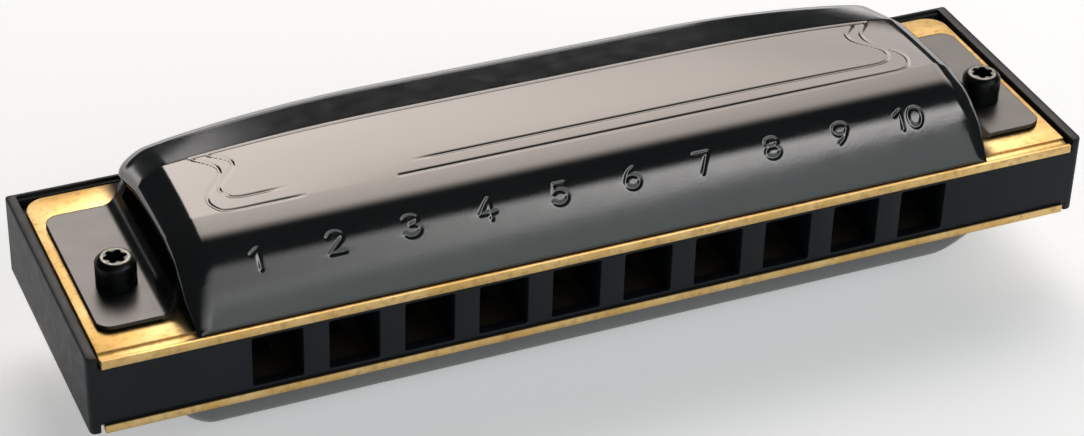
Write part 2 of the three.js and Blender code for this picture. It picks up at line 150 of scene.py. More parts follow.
# ---- Engraving on the covers; a stroke is half a groove's width, at half its depth ----
NUMBER_HEIGHT = 1.31  # measured along Y; the apron's slope makes it longer
NUMBER_WIDTH = 1.5
NUMBER_MIDDLE = 3.8
NUMBER_SHIFT = -0.4  # from the hole's middle
NUMBER_STROKE = 0.15
NUMBER_DEPTH = 0.085
APRON_STRETCH = 1.5  # length along the apron for each length along Y
BORDER_LINES = (8.75, 10.35)
BORDER_BACK = PANEL_BACK
BORDER_GAPS = ((-28.4, -18.5), (-30.5, -15.3))
BORDER_STROKE = 0.13
BORDER_DEPTH = 0.075
SCROLL_MIDDLE = 35.4
SCROLL_SWING = 1.25
SCROLL_STEP = 1.5  # from the outer line to the inner one
SCROLL_PHASE = 0.16  # how far through its wave a scroll starts
SCROLL_BEND = (1.4, 0.5)  # the length and rise of the turn from a front line into its scroll

# ---- Comb and reed plates ----
HOLE_WIDTH, HOLE_HEIGHT = 4.92, 5.35
FRONT_STRIP = 1.1  # how far back each hole keeps its own height
CHAMBER_CLEARANCE = 3.6  # from a blow reed's tip to the end of its chamber
END_RIB, BACK_RIM, BACK_LEDGE = 1.05, 0.7, 0.4
COMB_CORNER, COMB_BACK_CORNER = 0.6, 0.35
PLATE_BACK_CORNER = 2.2
GROOVE = (0.2, 1.25)  # where the groove for the cover's front edge starts and ends
GROOVE_DEPTH = 0.25
SLOT_HALF = 1.22
SLOT_TIP_ROOM = 0.25

# ---- Fasteners ----
SCREW_HEAD_RADIUS = 1.95
SCREW_HEAD_HEIGHT = 2.9
SCREW_SHANK = 1.0
SCREW_HOLE = 1.1
THREAD_PITCH, THREAD_DEPTH = 0.4, 0.14
NUT_HEIGHT = 1.6

# ---- Reeds; a place is a length from the rivet towards the tip ----
REED_HEEL, REED_SHOULDER = -1.9, 2.1
REED_PAD_HALF, REED_ROOT_HALF, REED_TIP_HALF = 1.45, 1.1, 0.98
REED_CHAMFER = 0.35
REED_RIVET_HOLE = 0.75


# ==== Mesh helpers ====

def world(point):
    """A point in the harmonica's millimetres, in the frame's metres."""
    x, y, z = point
    return Vector((x * MM, y * MM + FRONT_Y, z * MM + MIDDLE_Z))


def new_object(name, data):
    """A new object in the scene."""
    added = bpy.data.objects.new(name, data)
    bpy.context.scene.collection.objects.link(added)
    return added


def object_from(bm, name, surface):
    """A new object of one material from a bmesh in metres."""
    mesh = bpy.data.meshes.new(name)
    bm.to_mesh(mesh)
    bm.free()
    mesh.materials.append(surface.material)
    return new_object(name, mesh)


def piece_from(bm, node, surface, rides=True):
    """A new piece from a bmesh in the harmonica's millimetres, standing for its CAD node."""
    for vertex in bm.verts:
        vertex.co = world(vertex.co)
    piece = object_from(bm, node, surface)
    if rides:
        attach(piece, "body")
    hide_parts(node)
    return piece


def settle(piece, sharp_angle):
    """Turns a piece's modifiers into its mesh, smooth but for its sharp edges."""
    bpy.context.view_layer.update()
    graph = bpy.context.evaluated_depsgraph_get()
    mesh = bpy.data.meshes.new_from_object(piece.evaluated_get(graph))
    piece.modifiers.clear()
    piece.data = mesh
    mesh.name = piece.name
    mesh.polygons.foreach_set("use_smooth", [True] * len(mesh.polygons))
    mesh.set_sharp_from_angle(angle=math.radians(sharp_angle))


def soften(piece, width, segments=2, angle=40.0):
    """Rounds a piece's hard edges; width is in millimetres."""
    bevel = piece.modifiers.new("rounded_edges", "BEVEL")
    bevel.width = width * MM
    bevel.segments = segments
    bevel.limit_method = "ANGLE"
    bevel.angle_limit = math.radians(angle)
    bevel.use_clamp_overlap = False
    bevel.miter_outer = "MITER_ARC"
    return bevel


def outward(bm):
    bmesh.ops.recalc_face_normals(bm, faces=bm.faces)


def spaced(stops, step_of):
    """Numbers from the first stop to the last, with every stop, no further apart than step_of says."""
    values = [stops[0]]
    for low, high in zip(stops, stops[1:]):
        count = max(1, math.ceil((high - low) / step_of((low + high) / 2)))
        values += [low + (high - low) * i / count for i in range(1, count + 1)]
    return values


def grid_faces(bm, rows):
    """Quads between neighbouring rows of vertices."""
    for low, high in zip(rows, rows[1:]):
        for j in range(len(low) - 1):
            bm.faces.new([low[j], low[j + 1], high[j + 1], high[j]])


def drop_loose(bm):
    """Removes the vertices that no face uses."""
    for vertex in [v for v in bm.verts if not v.link_faces]:
        bm.verts.remove(vertex)


def punch(bm, centre, height, radius, reach):
    """Opens a round hole in a flat grid: the faces within reach go, and their rim moves onto the circle."""
    middle = Vector(centre)
    near = []
    for face in bm.faces:
        place = face.calc_center_median()
        if abs(place.z - height) < 0.01 and (place.xy - middle).length < reach:
            near.append(face)
    rim = {v for f in near for v in f.verts}
    bmesh.ops.delete(bm, geom=near, context="FACES")
    for vertex in rim:
        if vertex.is_valid and vertex.link_faces:
            away = vertex.co.xy - middle
            vertex.co.xy = middle + away.normalized() * radius


def bend_point(t, corners):
    """The point at share t of a soft bend from the first of three corners to the last."""
    shares = ((1 - t) ** 2, 2 * t * (1 - t), t * t)
    return tuple(sum(share * corner[axis] for share, corner in zip(shares, corners)) for axis in (0, 1))


def quarter_turn(steps):
    """The sine and cosine of each even step of a right angle, but for its start."""
    angles = [math.pi / 2 * i / steps for i in range(1, steps + 1)]
    return [(math.sin(angle), math.cos(angle)) for angle in angles]


def hole_x(n):
    """The middle of a hole, counted from the left."""
    return (n - (HOLES + 1) / 2) * HOLE_PITCH


# ==== Cover shape ====

def smooth_min(a, b, softness):
    """The lower of two heights, with the crease between them rounded."""
    share = np.clip(1 - abs(a - b) / softness, 0, None)
    return np.minimum(a, b) - share * share * softness / 4


def apron_height(y):
    """The front slope: a curve up from the foot, then straight on."""
    bend_y, bend_z = APRON_LEAN
    end_y, end_z = APRON_RISE
    along = np.clip(y - COVER_FRONT, 0, end_y)
    curve = end_y - 2 * bend_y
    t = (np.sqrt(bend_y * bend_y + curve * along) - bend_y) / curve
    rise = 2 * t * (1 - t) * bend_z + t * t * end_z
    slope = (end_z - bend_z) / (end_y - bend_y)
    return PLATE_FACE + 0.1 + rise + slope * np.clip(y - COVER_FRONT - end_y, 0, None)


def crown_fall(x):
    """How far the long, shallow arch from end to end has fallen."""
    beyond = np.clip(abs(x) - FLAT_HALF, 0, None)
    return CROWN_RADIUS - np.sqrt(CROWN_RADIUS ** 2 - beyond ** 2)


def panel_height(x, y):
    """The panel: level along its front line, half arched at its crease, fully arched at the back edge."""
    run = (y - BORDER_LINES[0]) / (PANEL_BACK - BORDER_LINES[0])
    bowed = PANEL_FALL * (1 - np.clip(run, None, 1)) ** 2
    share = np.clip(run, 0, 1)
    behind = np.clip((y - PANEL_BACK) / (COVER_BACK - PANEL_BACK), 0, 1)
    arched = CREASE_CROWN * share * (3 - share) / 2 + (1 - CREASE_CROWN) * behind
    return COVER_TOP - bowed - crown_fall(x) * arched


def end_line(y):
    """Half the shell's length at y, drawn in at the front foot and round the rear corners."""
    wide = END_NARROW + (END_WIDE - END_NARROW) * np.clip((y - COVER_FRONT) / END_DRAWN_IN, 0, 1)
    past = np.clip(y - (COVER_BACK - REAR_CORNER), 0, REAR_CORNER)
    return wide - REAR_CORNER + np.sqrt(np.clip(REAR_CORNER ** 2 - past ** 2, 0, None))


def edge_distance(x, y):
    """How far a point is inside the shell's ends and rear edge."""
    wide = end_line(np.minimum(y, COVER_BACK - REAR_CORNER))
    past_x = abs(x) - (wide - REAR_CORNER)
    past_y = y - (COVER_BACK - REAR_CORNER)
    corner = np.hypot(np.clip(past_x, 0, None), np.clip(past_y, 0, None))
    inside = np.minimum(np.maximum(past_x, past_y), 0)
    return REAR_CORNER - corner - inside


def top_height(x, y):
    """The outer surface of the pressed cover."""
    face = smooth_min(apron_height(y), panel_height(x, y), APRON_EDGE_ROUND)
    back = np.clip(y - PANEL_BACK, 0, None)
    face = face - REAR_SLOPE * (np.sqrt(back * back + CREASE_SOFT ** 2) - CREASE_SOFT)
    grown = np.clip((face - PLATE_FACE) / ROLL_GROWN_AT, 0, 1)
    zone_start, zone_width = END_ROLL_ZONE
    inland = np.clip((END_WIDE - zone_start - abs(x)) / zone_width, 0, 1)
    roll_in = FRONT_EDGE_ROLL[0] + (EDGE_ROLL[0] - FRONT_EDGE_ROLL[0]) * grown
    roll_in = roll_in + (REAR_ROLL - EDGE_ROLL[0]) * inland
    roll_drop = FRONT_EDGE_ROLL[1] + (EDGE_ROLL[1] - FRONT_EDGE_ROLL[1]) * grown
    roll_drop = np.minimum(roll_drop, 0.8 * np.clip(face - COVER_FOOT, 0, None))
    near = np.clip(1 - edge_distance(x, y) / roll_in, 0, 1)
    power = END_ROLL_POWER + (2 - END_ROLL_POWER) * inland
    return face - roll_drop * (1 - (1 - near ** power) ** (1 / power))


# ==== Engraving ====

def arc(centre, radii, start, end, count=14):
    """Points along an ellipse's arc; angles in degrees, anticlockwise from +X."""
    angles = np.radians(np.linspace(start, end, count))
    return [(centre[0] + radii[0] * math.cos(a), centre[1] + radii[1] * math.sin(a)) for a in angles]


def bowl_and_tail():
    """The strokes of a six; a nine is the same turned round."""
    tail = [(0.70, 1.0), (0.42, 0.86), (0.16, 0.62), (0.02, 0.36)]
    return [arc((0.5, 0.31), (0.5, 0.31), 0, 360, 22), tail]


def digit_strokes(digit):
    """A plain numeral's strokes in a box one wide and one high."""
    turned_six = [[(1 - x, 1 - y) for x, y in stroke] for stroke in bowl_and_tail()]
    return {
        0: [arc((0.5, 0.5), (0.5, 0.5), 0, 360, 26)],
        1: [[(0.12, 0.76), (0.56, 1.0), (0.56, 0.0)]],
        2: [arc((0.5, 0.72), (0.46, 0.28), 170, -35) + [(0.0, 0.0), (1.0, 0.0)]],
        3: [arc((0.44, 0.76), (0.44, 0.24), 155, -90), arc((0.46, 0.27), (0.54, 0.27), 90, -155)],
        4: [[(0.72, 0.0), (0.72, 1.0), (0.0, 0.30), (1.05, 0.30)]],
        5: [[(0.92, 1.0), (0.22, 1.0), (0.12, 0.56)], arc((0.44, 0.33), (0.54, 0.33), 125, -145)],
        6: bowl_and_tail(),
        7: [[(0.0, 1.0), (1.0, 1.0), (0.36, 0.0)]],
        8: [arc((0.5, 0.76), (0.4, 0.24), 0, 360, 18), arc((0.5, 0.27), (0.5, 0.27), 0, 360, 20)],
        9: turned_six,
    }[digit]


def number_strokes(n):
    """The strokes of a hole's number, in the cover's X and Y."""
    middle_x = hole_x(n) + NUMBER_SHIFT
    digits = [int(letter) for letter in str(n)]
    step = NUMBER_WIDTH * 1.05
    strokes = []
    for place, digit in enumerate(digits):
        left = middle_x - NUMBER_WIDTH / 2 + (place - (len(digits) - 1) / 2) * step
        bottom = NUMBER_MIDDLE - NUMBER_HEIGHT / 2
        for stroke in digit_strokes(digit):
            strokes.append([(left + x * NUMBER_WIDTH, bottom + y * NUMBER_HEIGHT) for x, y in stroke])
    return strokes


def scroll_line(inner, side):
    """A border line's end: it turns up beside the panel in a soft wave."""
    front = BORDER_LINES[1] if inner else BORDER_LINES[0]
    middle = SCROLL_MIDDLE - (SCROLL_STEP if inner else 0)
    first_x = middle + SCROLL_SWING * math.cos(2 * math.pi * SCROLL_PHASE)
    first_y = front + SCROLL_BEND[1]
    bend = ((middle - SCROLL_BEND[0], front), (first_x - 0.32, front), (first_x, first_y))
    points = [bend_point(t, bend) for t in np.linspace(0, 1, 8, endpoint=False)]
    for t in np.linspace(0, 1, 40):
        wave = SCROLL_SWING * math.cos(2 * math.pi * (t - SCROLL_PHASE))
        points.append((middle + wave, first_y + t * (BORDER_BACK - first_y)))
    return [(side * x, y) for x, y in points]


def border_strokes():
    """The engraved border of the panel: two lines in front, one behind, and a waved end on each side."""
    strokes = []
    for inner, (y, gap) in enumerate(zip(BORDER_LINES, BORDER_GAPS)):
        reach = SCROLL_MIDDLE - SCROLL_BEND[0] - (SCROLL_STEP if inner else 0)
        strokes.append([(-reach, y), (gap[0], y)])
        strokes.append([(gap[1], y), (reach, y)])
        strokes += [scroll_line(inner, side) for side in (-1, 1)]
    back_half = SCROLL_MIDDLE + 0.6
    strokes.append([(-back_half, BORDER_BACK), (back_half, BORDER_BACK)])
    return strokes


def groove(points, stroke, half_width, y_stretch):
    """How deep each point lies in a rounded groove along a stroke, from 0 to 1."""
    scale = np.array([1.0, y_stretch])
    path = np.array(stroke) * scale
    spots = points * scale
    low, high = path.min(0) - 2 * half_width, path.max(0) + 2 * half_width
    near = np.all((spots > low) & (spots < high), axis=1)
    depth = np.zeros(len(points))
    if not near.any():
        return depth
    spots = spots[near]
    nearest = np.full(len(spots), np.inf)
    for start, end in zip(path, path[1:]):
        run = end - start
        share = np.clip((spots - start) @ run / max(run @ run, 1e-9), 0, 1)
        away = np.linalg.norm(spots - start - share[:, None] * run, axis=1)
        nearest = np.minimum(nearest, away)
    depth[near] = 0.5 + 0.5 * np.cos(np.pi * np.clip(nearest / (2 * half_width), 0, 1))
    return depth


def engraved_depth(x, y, numbered):
    """The engraving's depth at points of the cover, in millimetres."""
    points = np.column_stack([x, y])
    cuts = [BORDER_DEPTH * groove(points, stroke, BORDER_STROKE, 1.0) for stroke in border_strokes()]
    for n in range(1, HOLES + 1 if numbered else 1):
        for stroke in number_strokes(n):
            cuts.append(NUMBER_DEPTH * groove(points, stroke, NUMBER_STROKE, APRON_STRETCH))
    return np.max(cuts, axis=0)


# ==== Cover mesh ====

def cover_columns(numbered):
    """X of each grid column, close together where something is engraved."""
    margin, fine_step, coarse_step = 0.35, 0.11, 0.9
    scroll_low = SCROLL_MIDDLE - SCROLL_STEP - SCROLL_SWING - 0.4
    stops = {-STRAIGHT_COLUMNS_TO, STRAIGHT_COLUMNS_TO, -scroll_low, scroll_low, 0.0}
    fine = [(scroll_low, STRAIGHT_COLUMNS_TO), (-STRAIGHT_COLUMNS_TO, -scroll_low)]
    if numbered:
        for n in range(1, HOLES + 1):
            xs = [x for stroke in number_strokes(n) for x, _ in stroke]
            zone = (min(xs) - margin, max(xs) + margin)
            fine.append(zone)
            stops |= set(zone)

    def step(x):
        return fine_step if any(low < x < high for low, high in fine) else coarse_step

    return spaced(sorted(stops), step)


def cover_rows(numbered):
    """Y of each grid row, close together where something is engraved or sharply curved."""
    foot_rows = (0.8, 1.6)
    front_lines = (BORDER_LINES[0] - 0.4, BORDER_LINES[1] + 0.6)
    back_line = (BORDER_BACK - 0.4, BORDER_BACK + 0.5)
    roll_start = COVER_BACK - REAR_ROLL
    stops = {COVER_FRONT, *foot_rows, *front_lines, *back_line, PANEL_BACK, FLANGE_FRONT, VENT_FRONT,
             VENT_BACK, TAB_BACK, roll_start}
    fine = [(*front_lines, 0.1), (*back_line, 0.1), (PANEL_BACK, roll_start, 0.3)]
    if numbered:
        reach = NUMBER_HEIGHT / 2 + 0.25
        stops |= {NUMBER_MIDDLE - reach, NUMBER_MIDDLE + reach}
        fine.append((NUMBER_MIDDLE - reach, NUMBER_MIDDLE + reach, 0.075))

    def step(y):
        return min([size for low, high, size in fine if low < y < high], default=0.36)

    return spaced(sorted(stops), step) + [COVER_BACK - REAR_ROLL * (1 - sine) for sine, _ in quarter_turn(14)]


def cover_plan_row(columns, y):
    """The X of every vertex in a row: the engraved columns, then the edge roll's own steps."""
    room = float(end_line(y)) - STRAIGHT_COLUMNS_TO
    steps, even = 16, 0.25
    outer = []
    for i, (sine, _) in enumerate(quarter_turn(steps), 1):
        outer.append(STRAIGHT_COLUMNS_TO + room * (even * i / steps + (1 - even) * sine))
    return [-x for x in reversed(outer)] + list(columns) + outer


def engrave(xs, ys, zs, numbered):
    """Points of the cover's top moved inwards along its normal where it is engraved."""
    depth = engraved_depth(xs, ys, numbered)
    nudge = 0.02
    slope_x = (top_height(xs + nudge, ys) - top_height(xs - nudge, ys)) / (2 * nudge)
    slope_y = (top_height(xs, ys + nudge) - top_height(xs, ys - nudge)) / (2 * nudge)
    normal = np.column_stack([-slope_x, -slope_y, np.ones(len(xs))])
    normal /= np.linalg.norm(normal, axis=1)[:, None]
    return np.column_stack([xs, ys, zs]) - normal * depth[:, None]


def flange_path(side):
    """X and Z down the flange and out to the end of its tab."""
    tab_z = PLATE_FACE + TAB_THICK
    top = (FLANGE_TOP_X, PLATE_FACE + VENT_FOOT)
    bend = (top, (FLANGE_TOP_X + 0.35, tab_z), (FLANGE_FOOT_X, tab_z))
    turns = FLANGE_TURNS - 1
    path = [bend_point(i / turns, bend) for i in range(turns + 1)]
    near = 1.6
    tab_stops = spaced([FLANGE_FOOT_X, SCREW_X - near, SCREW_X + near, TAB_OUTER - TAB_CORNER], lambda x: 0.4)
    corner = [TAB_OUTER - TAB_CORNER * (1 - sine) for sine, _ in quarter_turn(7)]
    path += [(x, tab_z) for x in tab_stops[1:] + corner]
    return [(side * x, z) for x, z in path]


def tab_y(y, x):
    """A tab row's Y: the tab is a little longer than the flange, with rounded outer corners."""
    along = (y - FLANGE_FRONT) / (TAB_BACK - FLANGE_FRONT)
    past = max(0.0, abs(x) - (TAB_OUTER - TAB_CORNER))
    inset = TAB_CORNER - math.sqrt(max(TAB_CORNER ** 2 - past ** 2, 0.0))
    reach = float(np.interp(abs(x), (FLANGE_TOP_X, FLANGE_FOOT_X), (0, 1)))
    front = FLANGE_FRONT + (TAB_FRONT - FLANGE_FRONT) * reach + inset
    back = TAB_BACK - inset
    return front + (back - front) * along


def leg_below(bm, vertex, legs):
    """The vertices straight below a point of the shell's edge: its lip, then down to the reed plate."""
    if vertex not in legs:
        x, y, z = vertex.co
        lip = min(PLATE_FACE + REAR_HEM, z - LIP)
        foot = PLATE_FACE + 0.02
        heights = [lip + (foot - lip) * i / FLANGE_TURNS for i in range(FLANGE_TURNS + 1)]
        legs[vertex] = [bm.verts.new((x, y, height)) for height in heights]
    return legs[vertex]


def cover_sheet(numbered):
    """The cover's outer surface as an open sheet: top, edge lips, flanges, tabs and rear legs."""
    bm = bmesh.new()
    columns = cover_columns(numbered)
    ys = cover_rows(numbered)
    plan = [(x, y) for y in ys for x in cover_plan_row(columns, y)]
    xs, all_y = np.array(plan).T
    points = engrave(xs, all_y, top_height(xs, all_y), numbered)
    wide = len(plan) // len(ys)
    verts = [bm.verts.new(p) for p in points]
    rows = [verts[i * wide:(i + 1) * wide] for i in range(len(ys))]
    foot = [bm.verts.new((v.co.x, v.co.y, COVER_FOOT)) for v in rows[0]]
    grid_faces(bm, [foot] + rows)
    legs = {}
    for side, column in ((-1, 0), (1, wide - 1)):
        add_end(bm, [row[column] for row in rows], side, legs)
    add_rear(bm, rows[-1], legs)
    drop_loose(bm)
    return bm


def add_end(bm, edge, side, legs):
    """One end of a cover: the lip over the vent, the flange with its screw tab, and the rear leg."""
    tiny = 1e-6
    strips = []
    path = flange_path(side)
    for vertex in edge:
        x, y, z = vertex.co
        if y > TAB_BACK + tiny:
            below = leg_below(bm, vertex, legs)
        elif y > FLANGE_FRONT - tiny:
            lip = bm.verts.new((x, y, z - LIP))
            below = [lip] + [bm.verts.new((out, tab_y(y, out), down)) for out, down in path]
        else:
            below = [bm.verts.new((x, y, max(z - LIP, COVER_FOOT)))]
        strips.append([vertex] + below)
    for first, second in zip(strips, strips[1:]):
        y = (first[0].co.y + second[0].co.y) / 2
        for place in range(min(len(first), len(second)) - 1):
            corners = [first[place], first[place + 1], second[place + 1], second[place]]
            in_vent = place == 1 and VENT_FRONT < y < VENT_BACK
            if not in_vent and (corners[1].co - corners[2].co).length > tiny:
                bm.faces.new(corners)


def add_rear(bm, row, legs):
    """The rear edge: a narrow turned-down hem over the opening, and the legs beside it."""
    for first, second in zip(row, row[1:]):
        left = [first] + leg_below(bm, first, legs)
        right = [second] + leg_below(bm, second, legs)
        beside = abs(first.co.x + second.co.x) / 2 > REAR_OPENING_HALF
        for place in range(len(left) - 1 if beside else 1):
            bm.faces.new([left[place], left[place + 1], right[place + 1], right[place]])


def build_cover(node, numbered, upside_down, surface):
    """A whole cover plate, from its outer sheet."""
    bm = cover_sheet(numbered)
    bmesh.ops.remove_doubles(bm, verts=bm.verts, dist=1e-4)
    for side in (-1, 1):
        punch(bm, (side * SCREW_X, SCREW_Y), PLATE_FACE + TAB_THICK, SCREW_HOLE, SCREW_HOLE)
    outward(bm)
    if max(bm.faces, key=lambda f: f.calc_center_median().z).normal.z < 0:
        bmesh.ops.reverse_faces(bm, faces=bm.faces)
    mark_tab_rims(bm)
    if upside_down:
        bmesh.ops.rotate(bm, verts=bm.verts, matrix=Matrix.Rotation(math.pi, 3, "Y"))
    piece = piece_from(bm, node, surface)
    sheet = piece.modifiers.new("sheet", "SOLIDIFY")
    sheet.thickness = SHEET * MM
    sheet.offset = -1
    sheet.use_even_offset = True
    rim = soften(piece, 0.09)
    rim.limit_method = "WEIGHT"
    rim.miter_outer = "MITER_SHARP"
    settle(piece, 50.0)


def mark_tab_rims(bm):
    """Marks the free edges of the tabs, which the cover's edge rounding follows."""
    marks = bm.edges.layers.float.new("bevel_weight_edge")
    for edge in bm.edges:
        low_down = max(v.co.z for v in edge.verts) < PLATE_FACE + TAB_THICK + 0.01
        outside = min(abs(v.co.x) for v in edge.verts) > FLANGE_FOOT_X - 0.01
        edge[marks] = 1.0 if edge.is_boundary and low_down and outside else 0.0


# ==== Comb and reed plates: straight-sided work on a grid of cells ====

def box_work(xs, ys, zs, solid):
    """A closed mesh of the grid cells that solid(x, y, z) says are filled, with even quads."""
    stops = [sorted(set(round(v, 5) for v in values)) for values in (xs, ys, zs)]
    middles = [[(low + high) / 2 for low, high in zip(v, v[1:])] for v in stops]
    filled = {(i, j, k) for i, x in enumerate(middles[0]) for j, y in enumerate(middles[1])
              for k, z in enumerate(middles[2]) if solid(x, y, z)}
    bm = bmesh.new()
    corners = {}

    def corner(*place):
        if place not in corners:
            corners[place] = bm.verts.new([stops[axis][place[axis]] for axis in range(3)])
        return corners[place]

    for cell in filled:
        for axis in range(3):
            for step in (0, 1):
                beyond = list(cell)
                beyond[axis] += 2 * step - 1
                if tuple(beyond) in filled:
                    continue
                face = []
                for a, b in ((0, 0), (1, 0), (1, 1), (0, 1)):
                    place = list(cell)
                    place[axis] += step
                    place[(axis + 1) % 3] += a
                    place[(axis + 2) % 3] += b
                    face.append(corner(*place))
                bm.faces.new(face)
    outward(bm)
    return bm


def round_corner(bm, x, y, radius):
    """Rounds the upright edges at a corner of the plan, on both ends."""
    edges = [e for e in bm.edges
             if all(abs(abs(v.co.x) - x) < 1e-3 and abs(v.co.y - y) < 1e-3 for v in e.verts)]
    bmesh.ops.bevel(bm, geom=edges, offset=radius, segments=7, affect="EDGES", profile=0.5)


def finish_box_work(bm, node, surface, edge_round):
    """A straight-sided piece with its edges rounded."""
    piece = piece_from(bm, node, surface)
    soften(piece, edge_round, 2, 50.0)
    settle(piece, 32.0)


def slot_ends(n):
    """Where a hole's reed slots start and end, from its two reeds' tips."""
    draw_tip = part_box(f"draw_reed_{n}")[0].y
    blow_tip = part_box(f"blow_reed_{n}")[1].y
    return (draw_tip - FRONT_Y) / MM, (blow_tip - FRONT_Y) / MM


def nearest_hole(x):
    """The hole whose middle is closest to x."""
    return min(range(1, HOLES + 1), key=lambda n: abs(x - hole_x(n)))


def build_comb(surface):
    """The comb: a core with ten open chambers, ribs along both ends and a stepped rim at the back."""
    half = COMB_HIGH.x / MM
    depth = (COMB_HIGH.y - FRONT_Y) / MM
    low, high = node_heights("comb")
    chamber_ends = {n: slot_ends(n)[1] + CHAMBER_CLEARANCE for n in range(1, HOLES + 1)}
    walls = [hole_x(n) + side * HOLE_WIDTH / 2 for n in range(1, HOLES + 1) for side in (-1, 1)]
    xs = [-half, END_RIB - half, *walls, half - END_RIB, half]
    ys = [0, FRONT_STRIP, *chamber_ends.values(), depth - BACK_RIM, depth - BACK_LEDGE, depth]
    zs = [low, -PLATE_UNDER, -HOLE_HEIGHT / 2, HOLE_HEIGHT / 2, PLATE_UNDER, PLATE_FACE, high]

    def solid(x, y, z):
        if abs(x) > half - END_RIB or y > depth - BACK_LEDGE:
            return True
        if y > depth - BACK_RIM:
            return z < PLATE_FACE
        if abs(z) > PLATE_UNDER:
            return False
        n = nearest_hole(x)
        if abs(x - hole_x(n)) > HOLE_WIDTH / 2 or y > chamber_ends[n]:
            return True
        return y < FRONT_STRIP and abs(z) > HOLE_HEIGHT / 2

    bm = box_work(xs, ys, zs, solid)
    round_corner(bm, half, 0, COMB_CORNER)
    round_corner(bm, half, depth, COMB_BACK_CORNER)
    finish_box_work(bm, "comb", surface, 0.15)


def build_reed_plate(node, face_side, surface):
    """A reed plate: brass sheet with ten slots and the groove that the cover's front edge stands in."""
    low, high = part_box(node)
    half = high.x / MM
    front, back = (low.y - FRONT_Y) / MM, (high.y - FRONT_Y) / MM
    ends = {n: slot_ends(n) for n in range(1, HOLES + 1)}
    sides = [hole_x(n) + side * SLOT_HALF for n in range(1, HOLES + 1) for side in (-1, 1)]
    groove_floor = PLATE_FACE - GROOVE_DEPTH
    first_slot = min(start for start, _ in ends.values())
    slot_starts = [first_slot - SLOT_TIP_ROOM, first_slot]
    slot_stops = [end + room for _, end in ends.values() for room in (0, SLOT_TIP_ROOM)]
    ys = [front, *GROOVE, *slot_starts, *slot_stops, back]

    def solid(x, y, z):
        if GROOVE[0] < y < GROOVE[1] and z > groove_floor:
            return False
        n = nearest_hole(x)
        start, end = ends[n]
        if face_side > 0:
            end += SLOT_TIP_ROOM
        else:
            start -= SLOT_TIP_ROOM
        return not (abs(x - hole_x(n)) < SLOT_HALF and start < y < end)

    bm = box_work([-half, *sides, half], ys, [PLATE_UNDER, groove_floor, PLATE_FACE], solid)
    round_corner(bm, half, back, PLATE_BACK_CORNER)
    if face_side < 0:
        for vertex in bm.verts:
            vertex.co.z *= -1
        bmesh.ops.reverse_faces(bm, faces=bm.faces)
    finish_box_work(bm, node, surface, 0.1)


# ==== Turned pieces ====

def ring_points(radius, z, centre, count):
    """A closed ring; radius is a number, or a function of the angle."""
    points = []
    for i in range(count):
        angle = 2 * math.pi * i / count
        size = radius(angle) if callable(radius) else radius
        points.append((centre[0] + size * math.cos(angle), centre[1] + size * math.sin(angle), z))
    return points


def turned_piece(node, rings, centre, surface, count=72, hollow=False):
    """A turned piece. A solid one closes on its axis at both ends; a hollow one's rings form a loop."""
    bm = bmesh.new()
    loops = [[bm.verts.new(p) for p in ring_points(r, z, centre, count)] for r, z in rings]
    for low, high in zip(loops, loops[1:] + loops[:1] if hollow else loops[1:]):
        for i in range(count):
            j = (i + 1) % count
            bm.faces.new([low[i], low[j], high[j], high[i]])
    if not hollow:
        for loop, (_, z) in ((loops[0], rings[0]), (loops[-1], rings[-1])):
            tip = bm.verts.new((*centre, z))
            for i in range(count):
                bm.faces.new([loop[i], loop[(i + 1) % count], tip])
    outward(bm)
    piece = piece_from(bm, node, surface)
    settle(piece, 35.0)
    return piece


def six_lobe(angle):
    """The outline of a six-lobe socket, as a radius at an angle."""
    middle, lobe = 0.93, 0.17
    return middle + lobe * math.cos(6 * angle)


def hexagon(angle):
    """The outline of a hexagon nut, as a radius at an angle."""
    corner = 2.3
    past = (angle + math.pi / 6) % (math.pi / 3) - math.pi / 6
    return corner * math.cos(math.pi / 6) / math.cos(past)


def cross_recess(angle):
    """The outline of a cross recess, as a radius at an angle."""
    half_length, half_width = 0.85, 0.17
    across, along = sorted((abs(math.cos(angle)), abs(math.sin(angle))))
    return min(half_length / along, half_width / max(across, 1e-6))


def mark_wear(piece, centre, lowest):
    """Marks the worn, bright ring round a screw's socket for its material."""
    attribute = piece.data.attributes.new("wear", "FLOAT", "POINT")
    middle = world((*centre, lowest))
    inner, outer = 1.13, 1.34
    for vertex, value in zip(piece.data.vertices, attribute.data):
        away = (vertex.co.xy - middle.xy).length / MM
        value.value = 1.0 if inner <= away <= outer and vertex.co.z > middle.z else 0.0


def build_cover_screw(node, side, surface):
    """A cheese-head screw with a six-lobe socket, right through both covers."""
    centre = (side * SCREW_X, SCREW_Y)
    radius = SCREW_HEAD_RADIUS
    seat = PLATE_FACE + TAB_THICK
    top = seat + SCREW_HEAD_HEIGHT
    tip = -seat - 1.7
    rings = [(0.6, tip), (0.85, tip + 0.2)]
    z = tip + THREAD_PITCH
    while z < -seat + 0.1:
        rings += [(SCREW_SHANK, z), (SCREW_SHANK - THREAD_DEPTH, z + THREAD_PITCH / 2)]
        z += THREAD_PITCH
    rings += [(SCREW_SHANK, z), (SCREW_SHANK, seat + 0.01), (radius - 0.12, seat + 0.01)]
    rings += [(radius, seat + 0.13), (radius, top - 0.62), (radius - 0.02, top - 0.5)]
    rings += [(radius - 0.08, top - 0.4), (radius - 0.36, top - 0.1), (radius - 0.48, top - 0.02)]
    rings += [(1.3, top), (lambda a: six_lobe(a) + 0.06, top), (six_lobe, top - 0.07)]
    rings += [(six_lobe, top - 1.2), (lambda a: 0.6 * six_lobe(a), top - 1.35)]
    piece = turned_piece(node, rings, centre, surface)
    mark_wear(piece, centre, top - 0.1)


